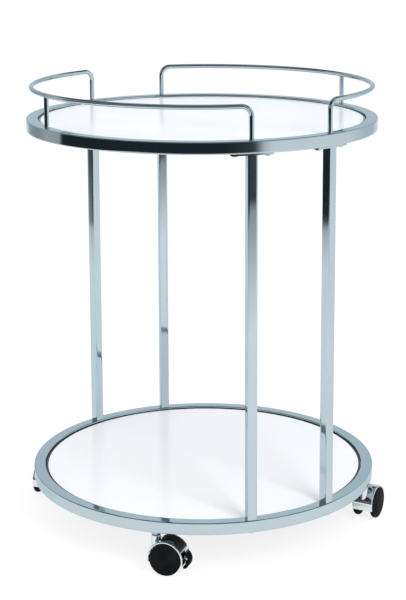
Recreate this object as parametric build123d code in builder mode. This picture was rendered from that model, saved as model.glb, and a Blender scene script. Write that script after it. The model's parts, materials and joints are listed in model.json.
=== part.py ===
# Round two-tier serving cart: two tube rings with recessed white shelves, four square legs in two
# close pairs, two bent-rod gallery rails and four twin-wheel swivel casters, two of them braked.
# Millimetres, +Z up, origin on the floor under the centre. Leg pairs stand on the X axis,
# the open sides face -Y (front) and +Y (rear).
import os
from math import atan2, cos, degrees, radians, sin, sqrt
from build123d import *

# Shelf rings, bent from square tube
ring_diameter = 450
tube_size = 15
tube_wall = 1.5
tube_corner = 1.2
shelf_spacing = 462
weld_fit = 0.05

# Shelf panels and the tabs that carry them
panel_thickness = 9
panel_recess = 2.5
panel_gap = 0.3
panel_edge = 0.6
tab_reach = 18
tab_width = 22
tab_thickness = 2
tab_count = 4
panel_screw_diameter = 3.5
panel_screw_bite = 6
panel_screw_head = 7
panel_screw_head_height = 2
screw_hole_fit = 0.15

# Legs, their top flanges and their fasteners
leg_size = 12
leg_wall = 1.2
leg_corner = 1
leg_half_angle = 14.5
flange_length = 52
flange_width = 13
flange_thickness = 2
flange_corner = 2
flange_screw_spacing = 40
flange_screw_diameter = 4
flange_screw_tail = 4
flange_screw_head = 7.5
flange_screw_head_height = 2.4
leg_bolt_diameter = 5
leg_bolt_bite = 10
leg_bolt_head = 10
leg_bolt_head_height = 2.2
insert_length = 14
head_crown = 0.9

# Gallery rails
rod_diameter = 6
rail_height = 39.5
rail_bend = 12
rod_root = 5
post_saddle = 1.2

# Casters
caster_angle = 45
wheel_diameter = 40
wheel_width = 11
wheel_disc = 5
wheel_edge = 1.4
wheel_hub = 11
trail = 15.5
web_thickness = 6
wheel_side_gap = 0.5
well_gap = 1
hood_wall = 1.6
hood_width = 27
hood_edge = 0.6
hood_drop = 5.5
headroom = 7.4
axle_diameter = 5
axle_cover = 2.7
axle_end_gap = 0.3
axle_boss_wall = 2.5
pin_fit = 0.02
running_fit = 0.05

# Swivel stems
stud_diameter = 6
stud_tail = 1.5
nut_width = 10
nut_height = 5
pivot_diameter = 6
collar_diameter = 12
collar_height = 3.2
collar_taper = 1.2
swivel_gap = 1.2
boss_wall = 2.45
boss_drop = 18
bore_floor = 2
bore_end_gap = 0.4

# Brake levers
brake_angle = 10
brake_pin_diameter = 2.4
brake_pin_out = 2.8
brake_pin_up = 2
brake_width = 12
brake_side_gap = 0.3
brake_knuckle = 5.2
brake_back = 1.5
brake_bulge = 3.4
brake_rise = 6.5
brake_tip = 1
brake_toe_height = 2.4
brake_toe_angle = 22
brake_rub_gap = 0.4
brake_slot_gap = 0.5
lug_thickness = 5
lug_height = 4
lug_root = 1

# Where each caster trails when the cart stands as seen, and which casters carry a brake
caster_trail_angles = {"right_front": 41, "right_rear": 122, "left_rear": 200, "left_front": 316}
braked_casters = ("right_front", "left_rear")

# Heights and radii that follow from the sizes above
ring_radius = ring_diameter / 2
ring_inner_radius = ring_radius - tube_size
ring_mid_radius = ring_radius - tube_size / 2
wheel_radius = wheel_diameter / 2
well_radius = wheel_radius + well_gap
hood_radius = well_radius + hood_wall
lower_ring_bottom = wheel_radius + hood_radius + headroom
lower_ring_top = lower_ring_bottom + tube_size
upper_ring_top = lower_ring_top + shelf_spacing
upper_ring_bottom = upper_ring_top - tube_size
leg_top = upper_ring_bottom - flange_thickness
rail_level = upper_ring_top + rail_height
rod_radius = rod_diameter / 2
post_angles = (90, 270)
leg_angles = {
    "right_front": -leg_half_angle,
    "right_rear": leg_half_angle,
    "left_rear": 180 - leg_half_angle,
    "left_front": 180 + leg_half_angle,
}
stem_angles = {
    "right_front": -caster_angle,
    "right_rear": caster_angle,
    "left_rear": 180 - caster_angle,
    "left_front": 180 + caster_angle,
}
flange_screw_offset = degrees(flange_screw_spacing / 2 / ring_mid_radius)
# A rail's foot stands over a leg, one bend before the point where its arc begins
rail_bend_angle = degrees(atan2(rail_bend, ring_mid_radius))
rail_foot_radius = sqrt(ring_mid_radius**2 + rail_bend**2)

os.makedirs("parts", exist_ok=True)


def save(builder, name):
    builder.part.label = name
    export_step(builder.part, f"parts/{name}.step")


def at_angle(angle, radius, height=0):
    return Vector(radius * cos(radians(angle)), radius * sin(radians(angle)), height)


def spots(angles, radius):
    return [(p.X, p.Y) for p in (at_angle(angle, radius) for angle in angles)]


def flange_spots(angle):
    return spots((angle - flange_screw_offset, angle + flange_screw_offset), ring_mid_radius)


# Rings: hollow square tube, drilled for the rods, screws, bolts and stems that enter them
def ring(bottom, name, top_holes, bottom_holes):
    with BuildPart() as tube:
        with BuildSketch(Plane.XZ):
            with Locations((ring_mid_radius, bottom + tube_size / 2)):
                RectangleRounded(tube_size, tube_size, tube_corner)
                Rectangle(tube_size - 2 * tube_wall, tube_size - 2 * tube_wall, mode=Mode.SUBTRACT)
        revolve(axis=Axis.Z)
        for points, diameter in top_holes:
            with BuildSketch(Plane.XY.offset(bottom + tube_size)):
                with Locations(*points):
                    Circle(diameter / 2)
            extrude(amount=-tube_size / 2, mode=Mode.SUBTRACT)
        for points, diameter in bottom_holes:
            with BuildSketch(Plane.XY.offset(bottom)):
                with Locations(*points):
                    Circle(diameter / 2)
            extrude(amount=tube_size / 2, mode=Mode.SUBTRACT)
    save(tube, name)


leg_spots = spots(leg_angles.values(), ring_mid_radius)
stem_spots = spots(stem_angles.values(), ring_mid_radius)
rod_spots = spots(leg_angles.values(), rail_foot_radius) + spots(post_angles, ring_mid_radius)
flange_screw_spots = [spot for angle in leg_angles.values() for spot in flange_spots(angle)]
rod_hole = rod_diameter + 2 * weld_fit
flange_screw_hole = flange_screw_diameter + 2 * screw_hole_fit
leg_bolt_hole = leg_bolt_diameter + 2 * screw_hole_fit
stud_hole = stud_diameter + 2 * screw_hole_fit

ring(upper_ring_bottom, "upper_ring", [(rod_spots, rod_hole)], [(flange_screw_spots, flange_screw_hole)])
ring(
    lower_ring_bottom,
    "lower_ring",
    [(leg_spots, leg_bolt_hole)],
    [(leg_spots, leg_bolt_hole), (stem_spots, stud_hole)],
)


# Pan-head screw or bolt standing head down, its head's flat face at the given height
def pan_heads(points, seat, head_diameter, head_height, shank_diameter, shank_length, name):
    with BuildPart() as screws:
        with BuildSketch(Plane.XY.offset(seat)):
            with Locations(*points):
                Circle(head_diameter / 2)
        extrude(amount=-head_height)
        fillet(screws.edges().group_by(Axis.Z)[0], head_crown)
        with BuildSketch(Plane.XY.offset(seat)):
            with Locations(*points):
                Circle(shank_diameter / 2)
        extrude(amount=shank_length)
    save(screws, name)


# Shelves: a round panel on tabs welded to the ring's inner wall, screwed from below
tab_angles = [360 / tab_count * n for n in range(tab_count)]
panel_radius = ring_inner_radius - panel_gap
panel_screw_spots = spots(tab_angles, ring_inner_radius - tab_reach / 2)
panel_screw_hole = panel_screw_diameter + 2 * screw_hole_fit


def shelf(ring_top, level):
    panel_top = ring_top - panel_recess
    panel_bottom = panel_top - panel_thickness
    tab_bottom = panel_bottom - tab_thickness
    with BuildPart() as panel:
        with BuildSketch(Plane.XY.offset(panel_bottom)):
            Circle(panel_radius)
        extrude(amount=panel_thickness)
        chamfer(panel.edges().filter_by(GeomType.CIRCLE), panel_edge)
        with BuildSketch(Plane.XY.offset(panel_bottom)):
            with Locations(*panel_screw_spots):
                Circle(panel_screw_hole / 2)
        extrude(amount=panel_screw_bite + screw_hole_fit, mode=Mode.SUBTRACT)
    save(panel, f"{level}_shelf")

    with BuildPart() as tabs:
        with BuildSketch(Plane.XY.offset(tab_bottom)):
            with PolarLocations(ring_inner_radius - tab_reach, tab_count):
                Rectangle(2 * tab_reach, tab_width, align=(Align.MIN, Align.CENTER))
            Circle(ring_inner_radius, mode=Mode.INTERSECT)
            with Locations(*panel_screw_spots):
                Circle(panel_screw_hole / 2, mode=Mode.SUBTRACT)
        extrude(amount=tab_thickness)
    save(tabs, f"{level}_shelf_tabs")

    pan_heads(
        panel_screw_spots,
        tab_bottom,
        panel_screw_head,
        panel_screw_head_height,
        panel_screw_diameter,
        tab_thickness + panel_screw_bite,
        f"{level}_shelf_screws",
    )


shelf(upper_ring_top, "upper")
shelf(lower_ring_top, "lower")


# Legs: square tube turned to face the centre, with a curved flange under the upper ring
leg_hollow = leg_size - 2 * leg_wall
for side, angle in leg_angles.items():
    leg_plane = Plane.XY.offset(lower_ring_top).rotated((0, 0, angle))
    with BuildPart() as leg:
        with BuildSketch(leg_plane):
            with Locations((ring_mid_radius, 0)):
                RectangleRounded(leg_size, leg_size, leg_corner)
                Rectangle(leg_hollow, leg_hollow, mode=Mode.SUBTRACT)
        extrude(amount=leg_top - lower_ring_top)
    save(leg, f"leg_{side}")

    half_span = degrees(flange_length / 2 / ring_mid_radius)
    flange_inner = ring_mid_radius - flange_width / 2
    flange_outer = ring_mid_radius + flange_width / 2
    with BuildPart() as flange:
        with BuildSketch(Plane.XY.offset(leg_top)) as flange_outline:
            with BuildLine():
                inside = CenterArc((0, 0), flange_inner, angle - half_span, 2 * half_span)
                outside = CenterArc((0, 0), flange_outer, angle - half_span, 2 * half_span)
                Line(inside @ 0, outside @ 0)
                Line(inside @ 1, outside @ 1)
            make_face()
            fillet(flange_outline.vertices(), flange_corner)
            with Locations(*flange_spots(angle)):
                Circle(flange_screw_hole / 2, mode=Mode.SUBTRACT)
        extrude(amount=flange_thickness)
    save(flange, f"leg_flange_{side}")

pan_heads(
    flange_screw_spots,
    leg_top,
    flange_screw_head,
    flange_screw_head_height,
    flange_screw_diameter,
    flange_thickness + tube_wall + flange_screw_tail,
    "flange_screws",
)

# A threaded plug in each leg's foot takes a bolt that comes up through the lower ring
insert_size = leg_hollow - 2 * weld_fit
with BuildPart() as leg_inserts:
    for angle in leg_angles.values():
        with BuildSketch(Plane.XY.offset(lower_ring_top).rotated((0, 0, angle))):
            with Locations((ring_mid_radius, 0)):
                Rectangle(insert_size, insert_size)
                Circle(leg_bolt_hole / 2, mode=Mode.SUBTRACT)
        extrude(amount=insert_length)
save(leg_inserts, "leg_inserts")

pan_heads(
    leg_spots,
    lower_ring_bottom,
    leg_bolt_head,
    leg_bolt_head_height,
    leg_bolt_diameter,
    tube_size + leg_bolt_bite,
    "leg_bolts",
)


# Gallery rails: one rod bent up from a leg, round the open side and down to the next pair
def gallery_rail(first_leg, last_leg, name):
    start_angle = first_leg + rail_bend_angle
    end_angle = last_leg - rail_bend_angle
    root = upper_ring_top - rod_root
    with BuildPart() as rail:
        with BuildLine() as route:
            rise = Line(at_angle(first_leg, rail_foot_radius, root),
                        at_angle(first_leg, rail_foot_radius, rail_level - rail_bend))
            bend_up = TangentArc(
                rise @ 1,
                at_angle(start_angle, ring_mid_radius, rail_level),
                tangent=rise % 1,
            )
            sweep_round = ThreePointArc(
                bend_up @ 1,
                at_angle((start_angle + end_angle) / 2, ring_mid_radius, rail_level),
                at_angle(end_angle, ring_mid_radius, rail_level),
            )
            bend_down = TangentArc(
                sweep_round @ 1,
                at_angle(last_leg, rail_foot_radius, rail_level - rail_bend),
                tangent=sweep_round % 1,
            )
            Line(bend_down @ 1, at_angle(last_leg, rail_foot_radius, root))
        with BuildSketch(Plane(origin=rise @ 0, z_dir=rise % 0)):
            Circle(rod_radius)
        sweep(path=route.line)
    save(rail, name)


gallery_rail(leg_angles["right_rear"], leg_angles["left_rear"], "gallery_rail_rear")
gallery_rail(leg_angles["left_front"], leg_angles["right_front"] + 360, "gallery_rail_front")

# A straight post under the middle of each rail, its head cut to a saddle round the rod
for angle, side in zip(post_angles, ("rear", "front")):
    foot = at_angle(angle, ring_mid_radius)
    with BuildPart() as post:
        with BuildSketch(Plane.XY.offset(upper_ring_top - rod_root)):
            with Locations((foot.X, foot.Y)):
                Circle(rod_radius)
        extrude(amount=rod_root + rail_height - post_saddle)
        with BuildSketch(Plane.XZ):
            with Locations((ring_mid_radius, rail_level)):
                Circle(rod_radius + weld_fit)
        revolve(axis=Axis.Z, mode=Mode.SUBTRACT)
    save(post, f"gallery_post_{side}")

# Casters
boss_top = lower_ring_bottom - collar_height - swivel_gap
boss_diameter = pivot_diameter + 2 * running_fit + 2 * boss_wall
pivot_bore = pivot_diameter / 2 + running_fit
boss_bottom = wheel_radius + hood_radius - boss_drop
bore_bottom = boss_bottom + bore_floor
wheel_inner_face = web_thickness / 2 + wheel_side_gap
wheel_bore_depth = wheel_width - axle_cover
axle_half = wheel_inner_face + wheel_bore_depth - axle_end_gap
axle_radius = axle_diameter / 2
brake_pin_radius = brake_pin_diameter / 2
brake_pivot = Vector(hood_radius + brake_pin_out, brake_pin_up)
brake_slot_radius = lug_height / 2 + brake_slot_gap

# With the brake on, the toe's inner corner stops just short of both treads
toe_on = Vector(wheel_radius + brake_rub_gap, 0).rotate(Axis.Z, -brake_toe_angle)
toe_off = brake_pivot + (toe_on - brake_pivot).rotate(Axis.Z, brake_angle)


# Plane on the floor under a stem, its X axis along the caster's trail
def caster_floor(side):
    trail_angle = radians(caster_trail_angles[side])
    return Plane(
        origin=at_angle(stem_angles[side], ring_mid_radius),
        x_dir=(cos(trail_angle), sin(trail_angle), 0),
        z_dir=(0, 0, 1),
    )


# Plane square to the axle and centred on it: facing one side of the caster, so far from its middle
def axle_plane(floor, facing=-1, distance=0):
    origin = floor.from_local_coords(Vector(trail, facing * distance, wheel_radius))
    return Plane(origin=origin, x_dir=floor.x_dir, z_dir=floor.y_dir * facing)


def caster_stem(floor, side):
    with BuildPart() as stem:
        with BuildSketch(floor.offset(bore_bottom + bore_end_gap)):
            Circle(pivot_diameter / 2)
        extrude(amount=lower_ring_bottom - collar_height - bore_bottom - bore_end_gap)
        with BuildSketch(floor.offset(lower_ring_bottom - collar_height)):
            Circle(collar_diameter / 2)
        extrude(amount=collar_height)
        collar_rim = stem.edges().filter_by(GeomType.CIRCLE).sort_by(SortBy.RADIUS)[-2:].sort_by(Axis.Z)[0]
        chamfer(collar_rim, collar_taper)
        with BuildSketch(floor.offset(lower_ring_bottom)):
            Circle(stud_diameter / 2)
        extrude(amount=tube_wall + nut_height + stud_tail)
    save(stem, f"caster_stem_{side}")


def caster_hood(floor, side):
    middle = axle_plane(floor)
    with BuildPart() as hood:
        with BuildSketch(middle):
            Circle(hood_radius)
            with Locations((0, -hood_drop)):
                Rectangle(
                    2 * hood_radius,
                    2 * hood_radius,
                    align=(Align.CENTER, Align.MAX),
                    mode=Mode.SUBTRACT,
                )
        extrude(amount=hood_width / 2, both=True)
        fillet(hood.edges().filter_by(GeomType.CIRCLE), hood_edge)
        if side in braked_casters:
            with BuildSketch(middle):
                with Locations((hood_radius - lug_root, brake_pin_up)):
                    Rectangle(brake_pin_out + lug_root, lug_height, align=(Align.MIN, Align.CENTER))
                with Locations((brake_pivot.X, brake_pivot.Y)):
                    Circle(lug_height / 2)
                    Circle(brake_pin_radius + pin_fit, mode=Mode.SUBTRACT)
            extrude(amount=lug_thickness / 2, both=True)
        for facing in (-1, 1):
            with BuildSketch(axle_plane(floor, facing, web_thickness / 2)):
                Circle(well_radius)
            extrude(amount=hood_width, mode=Mode.SUBTRACT)
        with BuildSketch(floor.offset(boss_bottom)):
            Circle(boss_diameter / 2)
        extrude(amount=boss_top - boss_bottom)
        with BuildSketch(middle):
            Circle(axle_radius + axle_boss_wall)
        extrude(amount=web_thickness / 2, both=True)
        with BuildSketch(middle):
            Circle(axle_radius + pin_fit)
        extrude(amount=web_thickness / 2, both=True, mode=Mode.SUBTRACT)
        with BuildSketch(floor.offset(boss_top)):
            Circle(pivot_bore)
        extrude(amount=bore_bottom - boss_top, mode=Mode.SUBTRACT)
    save(hood, f"caster_hood_{side}")


def caster_axle(floor, side):
    with BuildPart() as axle:
        with BuildSketch(axle_plane(floor)):
            Circle(axle_radius)
        extrude(amount=axle_half, both=True)
    save(axle, f"caster_axle_{side}")


# Wheel: a flat disc that runs beside the hood, on a hub that reaches in to the web
def caster_wheel(floor, facing, name):
    inner_face = axle_plane(floor, facing, wheel_inner_face)
    with BuildPart() as wheel:
        with BuildSketch(inner_face.offset(wheel_width - wheel_disc)):
            Circle(wheel_radius)
        extrude(amount=wheel_disc)
        fillet(wheel.edges().filter_by(GeomType.CIRCLE), wheel_edge)
        with BuildSketch(inner_face):
            Circle(wheel_hub / 2)
        extrude(amount=wheel_width - wheel_disc)
        with BuildSketch(inner_face):
            Circle(axle_radius + running_fit)
        extrude(amount=wheel_bore_depth, mode=Mode.SUBTRACT)
    save(wheel, name)


# Brake: a bowed pedal slotted over the hood's lug, with a toe that swings in under the hood to both treads
def caster_brake(floor, side):
    middle = axle_plane(floor)
    back = brake_pivot.X - brake_back
    toe_foot = toe_off.Y - brake_toe_height
    pedal_top = brake_pin_up + brake_rise
    with BuildPart() as lever:
        with BuildSketch(middle):
            with BuildLine():
                bow = ThreePointArc(
                    (back + brake_tip, pedal_top),
                    (brake_pivot.X + brake_bulge, brake_pivot.Y),
                    (back, toe_foot),
                )
                Polyline(
                    bow @ 1,
                    (toe_off.X, toe_foot),
                    (toe_off.X, toe_off.Y),
                    (back, toe_off.Y),
                    (back, pedal_top),
                    bow @ 0,
                )
            make_face()
            with Locations((brake_pivot.X, brake_pivot.Y)):
                Circle(brake_knuckle / 2)
                Circle(brake_pin_radius + running_fit, mode=Mode.SUBTRACT)
        extrude(amount=brake_width / 2, both=True)
        with BuildSketch(middle):
            with Locations((brake_pivot.X, brake_pivot.Y)):
                Circle(brake_slot_radius)
                Rectangle(brake_knuckle, 2 * brake_slot_radius, align=(Align.MAX, Align.CENTER))
        extrude(amount=lug_thickness / 2 + brake_side_gap, both=True, mode=Mode.SUBTRACT)
    save(lever, f"brake_lever_{side}")

    with BuildPart() as pin:
        with BuildSketch(middle):
            with Locations((brake_pivot.X, brake_pivot.Y)):
                Circle(brake_pin_radius)
        extrude(amount=brake_width / 2, both=True)
    save(pin, f"brake_pin_{side}")


for side in stem_angles:
    floor = caster_floor(side)
    caster_stem(floor, side)
    caster_hood(floor, side)
    caster_axle(floor, side)
    caster_wheel(floor, -1, f"wheel_{side}_outer")
    caster_wheel(floor, 1, f"wheel_{side}_inner")
    if side in braked_casters:
        caster_brake(floor, side)

# Nuts inside the lower ring that hold the stems' studs
with BuildPart() as caster_nuts:
    with BuildSketch(Plane.XY.offset(lower_ring_bottom + tube_wall)):
        with Locations(*stem_spots):
            RegularPolygon(nut_width / 2, 6, major_radius=False)
            Circle(stud_hole / 2, mode=Mode.SUBTRACT)
    extrude(amount=nut_height)
save(caster_nuts, "caster_nuts")
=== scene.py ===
import json
import math

import bmesh
import bpy
from mathutils import Matrix, Vector


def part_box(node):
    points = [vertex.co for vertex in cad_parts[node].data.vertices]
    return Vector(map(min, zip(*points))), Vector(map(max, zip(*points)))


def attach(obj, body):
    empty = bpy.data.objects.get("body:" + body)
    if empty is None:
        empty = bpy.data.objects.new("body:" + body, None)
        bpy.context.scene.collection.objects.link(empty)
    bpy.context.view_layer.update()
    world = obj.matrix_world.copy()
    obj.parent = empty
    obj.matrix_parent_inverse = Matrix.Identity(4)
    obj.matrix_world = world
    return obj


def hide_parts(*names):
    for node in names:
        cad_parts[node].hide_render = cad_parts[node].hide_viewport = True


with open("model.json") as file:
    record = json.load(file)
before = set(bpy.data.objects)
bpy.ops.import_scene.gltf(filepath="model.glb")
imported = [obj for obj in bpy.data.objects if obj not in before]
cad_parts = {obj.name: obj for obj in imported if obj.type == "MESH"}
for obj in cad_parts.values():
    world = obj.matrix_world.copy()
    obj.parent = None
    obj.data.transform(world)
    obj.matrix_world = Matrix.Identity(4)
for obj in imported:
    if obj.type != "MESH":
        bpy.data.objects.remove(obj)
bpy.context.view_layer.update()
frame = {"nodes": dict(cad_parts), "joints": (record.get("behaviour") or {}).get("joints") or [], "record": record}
joints = {joint["name"]: joint for joint in frame["joints"]}
casterSides = ("right_front", "right_rear", "left_rear", "left_front")
mm = 0.001
quarterTurn = math.pi / 2


# Node helpers
noiseBand = (0.3, 0.7)                 # where most of a noise texture's values lie
mixSockets = {"FLOAT": (2, 3, 0), "RGBA": (6, 7, 2)}    # a Mix node's two inputs and its output


# Each input takes a plain value or another node's output
def feed(tree, node, inputs):
    for key, value in inputs.items():
        if isinstance(value, bpy.types.NodeSocket):
            tree.links.new(value, node.inputs[key])
        else:
            node.inputs[key].default_value = value
    return node


def addNode(tree, kind, inputs=None, **settings):
    node = tree.nodes.new(kind)
    for key, value in settings.items():
        setattr(node, key, value)
    return feed(tree, node, inputs or {})


def addMath(tree, operation, first, second):
    return addNode(tree, "ShaderNodeMath", {0: first, 1: second}, operation=operation).outputs[0]


def addMix(tree, kind, share, first, second):
    firstKey, secondKey, result = mixSockets[kind]
    mix = addNode(tree, "ShaderNodeMix", {0: share, firstKey: first, secondKey: second}, data_type=kind)
    return mix.outputs[result]


def addNoise(tree, place, scale, detail, stretch=(1, 1, 1)):
    mapping = addNode(tree, "ShaderNodeMapping", {"Vector": place, "Scale": stretch})
    noise = addNode(tree, "ShaderNodeTexNoise",
                    {"Vector": mapping.outputs["Vector"], "Scale": scale, "Detail": detail})
    return noise.outputs["Fac"]


def addRamp(tree, value, dark, light):
    ramp = addNode(tree, "ShaderNodeValToRGB", {"Fac": value})
    for mark, position, colour in zip(ramp.color_ramp.elements, noiseBand, (dark, light)):
        mark.position = position
        mark.color = (*colour, 1)
    return ramp.outputs["Color"]


def addRange(tree, value, low, high):
    spread = addNode(tree, "ShaderNodeMapRange", {
        "Value": value, "From Min": noiseBand[0], "From Max": noiseBand[1], "To Min": low, "To Max": high,
    })
    return spread.outputs["Result"]


def addBump(tree, value, strength, depth):
    bump = addNode(tree, "ShaderNodeBump", {"Height": value, "Strength": strength, "Distance": depth})
    return bump.outputs["Normal"]


def startMaterial(name):
    material = bpy.data.materials.new(name)
    material.use_nodes = True
    tree = material.node_tree
    place = tree.nodes.new("ShaderNodeTexCoord").outputs["Object"]
    return material, tree, tree.nodes["Principled BSDF"], place


# Finishes: noise is (scale, detail), a bump is (strength, depth) and gloss is a span of roughness
chrome = {
    "tint": (0.53, 0.635, 0.675),      # cool plate colour
    "cloud": (0.49, 0.60, 0.645),      # faint clouding in the plate
    "cloudNoise": (9.0, 4.0),
    "grazing": (0.74, 0.82, 0.85),     # keeps the plate cool where it is seen almost edge on
    "gloss": (0.035, 0.075),           # cleanest to most handled
    "glossNoise": (38.0, 5.0),
    "wave": (0.25, 0.04 * mm),         # the polished tube's slight waves
    "waveNoise": (16.0, 1.0),
}
# A brighter copy of the chrome for the casters: painted light that lifts their reflections
litCasterChrome = {
    **chrome,
    "tint": (0.80, 0.855, 0.88),
    "cloud": (0.76, 0.82, 0.85),
    "grazing": (0.86, 0.90, 0.92),
}


def chromePlate(name, plate):
    material, tree, shader, place = startMaterial(name)
    clouds = addNoise(tree, place, *plate["cloudNoise"])
    handled = addNoise(tree, place, *plate["glossNoise"])
    waves = addNoise(tree, place, *plate["waveNoise"])
    feed(tree, shader, {
        "Base Color": addRamp(tree, clouds, plate["cloud"], plate["tint"]),
        "Roughness": addRange(tree, handled, *plate["gloss"]),
        "Metallic": 1.0,
        "Specular Tint": (*plate["grazing"], 1),
        "Normal": addBump(tree, waves, *plate["wave"]),
    })
    return material


lacquer = {
    "white": (0.91, 0.925, 0.955),
    "shade": (0.89, 0.905, 0.935),
    "shadeNoise": (5.0, 3.0),
    "gloss": (0.13, 0.20),
    "glossNoise": (14.0, 4.0),
    "peel": (0.15, 0.02 * mm),         # orange peel
    "peelNoise": (420.0, 2.0),
    "ior": 1.5,
    "sheen": 0.25,                     # how much of the room its surface gives back
    "joint": (0.010, 0.011, 0.013),    # painted shadow: a dark line in the gap where the panel meets the ring
    "gapShadeWidth": 3.2 * mm,
    "underside": (0.032, 0.023, 0.019),    # dark brown on faces that point down
    "undersideMottle": (0.022, 0.016, 0.013),
    "undersideMottleNoise": (260.0, 5.0),
    "undersideGloss": 0.6,
    "undersideFacing": -0.5,               # a surface takes the dark brown where its upward share is less
}


# One finish for both panels, which are the same size
def whiteLacquer():
    material, tree, shader, place = startMaterial("whiteLacquer")
    tone = addNoise(tree, place, *lacquer["shadeNoise"])
    smear = addNoise(tree, place, *lacquer["glossNoise"])
    peel = addNoise(tree, place, *lacquer["peelNoise"])
    mottling = addNoise(tree, place, *lacquer["undersideMottleNoise"])
    # Painted shadow: a dark band round the panel's rim, where it meets the ring
    level = addNode(tree, "ShaderNodeVectorMath", {0: place, 1: (1, 1, 0)}, operation="MULTIPLY")
    out = addNode(tree, "ShaderNodeVectorMath", {0: level.outputs["Vector"]}, operation="LENGTH")
    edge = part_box("lower_shelf")[1].x - lacquer["gapShadeWidth"]
    past = addMath(tree, "GREATER_THAN", out.outputs["Value"], edge)
    # Faces that point down take a mottled dark brown
    facing = tree.nodes.new("ShaderNodeTexCoord").outputs["Normal"]
    upward = addNode(tree, "ShaderNodeSeparateXYZ", {"Vector": facing}).outputs["Z"]
    below = addMath(tree, "LESS_THAN", upward, lacquer["undersideFacing"])
    face = addMix(tree, "RGBA", below, addRamp(tree, tone, lacquer["shade"], lacquer["white"]),
                  addRamp(tree, mottling, lacquer["undersideMottle"], lacquer["underside"]))
    gloss = addRange(tree, smear, *lacquer["gloss"])
    feed(tree, shader, {
        "Base Color": addMix(tree, "RGBA", past, face, (*lacquer["joint"], 1)),
        "Roughness": addMix(tree, "FLOAT", below, gloss, lacquer["undersideGloss"]),
        "IOR": lacquer["ior"],
        "Specular IOR Level": lacquer["sheen"],
        "Normal": addBump(tree, peel, *lacquer["peel"]),
    })
    return material


moulding = {
    "black": (0.0045, 0.006, 0.0075),
    "worn": (0.010, 0.013, 0.015),
    "wornNoise": (60.0, 5.0),
    "gloss": (0.34, 0.50),
    "glossNoise": (110.0, 3.0),
    "sheen": 0.012,                    # how much of the room its surface gives back
    "grain": (0.3, 0.03 * mm),
    "grainNoise": (1500.0, 2.0),
}


def blackMoulding():
    material, tree, shader, place = startMaterial("blackMoulding")
    scuff = addNoise(tree, place, *moulding["wornNoise"])
    rub = addNoise(tree, place, *moulding["glossNoise"])
    grain = addNoise(tree, place, *moulding["grainNoise"])
    feed(tree, shader, {
        "Base Color": addRamp(tree, scuff, moulding["black"], moulding["worn"]),
        "Roughness": addRange(tree, rub, *moulding["gloss"]),
        "Specular IOR Level": moulding["sheen"],
        "Normal": addBump(tree, grain, *moulding["grain"]),
    })
    return material


zinc = {
    "bright": (0.60, 0.62, 0.63),
    "dull": (0.46, 0.48, 0.49),
    "spangleNoise": (240.0, 4.0),
    "gloss": (0.22, 0.36),
    "glossNoise": (90.0, 3.0),
    "turning": (0.2, 0.02 * mm),       # turning marks
    "turningNoise": (700.0, 1.0, (1, 1, 6)),    # drawn close together up and down
}


def zincSteel():
    material, tree, shader, place = startMaterial("zincSteel")
    spangle = addNoise(tree, place, *zinc["spangleNoise"])
    rub = addNoise(tree, place, *zinc["glossNoise"])
    turning = addNoise(tree, place, *zinc["turningNoise"])
    feed(tree, shader, {
        "Base Color": addRamp(tree, spangle, zinc["dull"], zinc["bright"]),
        "Roughness": addRange(tree, rub, *zinc["gloss"]),
        "Metallic": 1.0,
        "Normal": addBump(tree, turning, *zinc["turning"]),
    })
    return material


finishes = {
    "chrome": chromePlate("chromePlate", chrome),
    "white_panel": whiteLacquer(),
    "black_plastic": blackMoulding(),
    "plain_steel": zincSteel(),
}
# Painted light: the casters get the brighter copy of the chrome
litCasterPlate = chromePlate("litCasterPlate", litCasterChrome)
for part in frame["record"]["subparts"]:
    cadNode = frame["nodes"][part["node"]]
    cadNode.data.materials.clear()
    cadNode.data.materials.append(finishes[part["material_slot"]])
print("finishes made:", ", ".join(finishes))


# Mesh helpers
mergeGap = 0.0001 * mm                 # points nearer than this are one
cutMergeGap = 0.001 * mm               # the same, after a cut and on the CAD meshes
sharpAngle = 40                        # edges that turn by more degrees stay crisp
cutSharpAngle = 30                     # the same, after a cut
roundingSteps = 3                      # faces across a pushed outline's rounded edge
mitreLimit = 0.5                       # keeps a sharp corner's inset from running away


def addObject(name, data):
    piece = bpy.data.objects.new(name, data)
    bpy.context.scene.collection.objects.link(piece)
    return piece


def smoothFaces(mesh, angle=sharpAngle):
    mesh.polygons.foreach_set("use_smooth", [True] * len(mesh.polygons))
    mesh.set_sharp_from_angle(angle=math.radians(angle))


def dress(piece, slot, body, *nodes):
    if not piece.data.materials:
        piece.data.materials.append(finishes[slot])
    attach(piece, body)
    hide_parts(*nodes)


def meshFrom(name, bm):
    bmesh.ops.remove_doubles(bm, verts=bm.verts, dist=mergeGap)
    bmesh.ops.recalc_face_normals(bm, faces=bm.faces)
    mesh = bpy.data.meshes.new(name)
    bm.to_mesh(mesh)
    bm.free()
    smoothFaces(mesh)
    return mesh


# Faces between rows of points that each go once round
def skinRows(bm, rows):
    count = len(rows[0])
    for low, high in zip(rows, rows[1:]):
        for step in range(count):
            after = (step + 1) % count
            corners = list(dict.fromkeys((low[step], low[after], high[after], high[step])))
            if len(corners) > 2:
                bm.faces.new(corners)


def capRows(bm, rows):
    bm.faces.new(rows[0])
    bm.faces.new(rows[-1])


def onCircle(angle, radius, height):
    return Vector((radius * math.cos(angle), radius * math.sin(angle), height))


# A profile of (radius, height) points turned about Z; points on the axis close the ends
def turnProfile(bm, profile, sides, matrix=Matrix()):
    rows = []
    for radius, height in profile:
        if radius < mergeGap:
            rows.append([bm.verts.new(matrix @ Vector((0, 0, height)))] * sides)
            continue
        spots = [onCircle(2 * math.pi * side / sides, radius, height) for side in range(sides)]
        rows.append([bm.verts.new(matrix @ spot) for spot in spots])
    skinRows(bm, rows)


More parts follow.
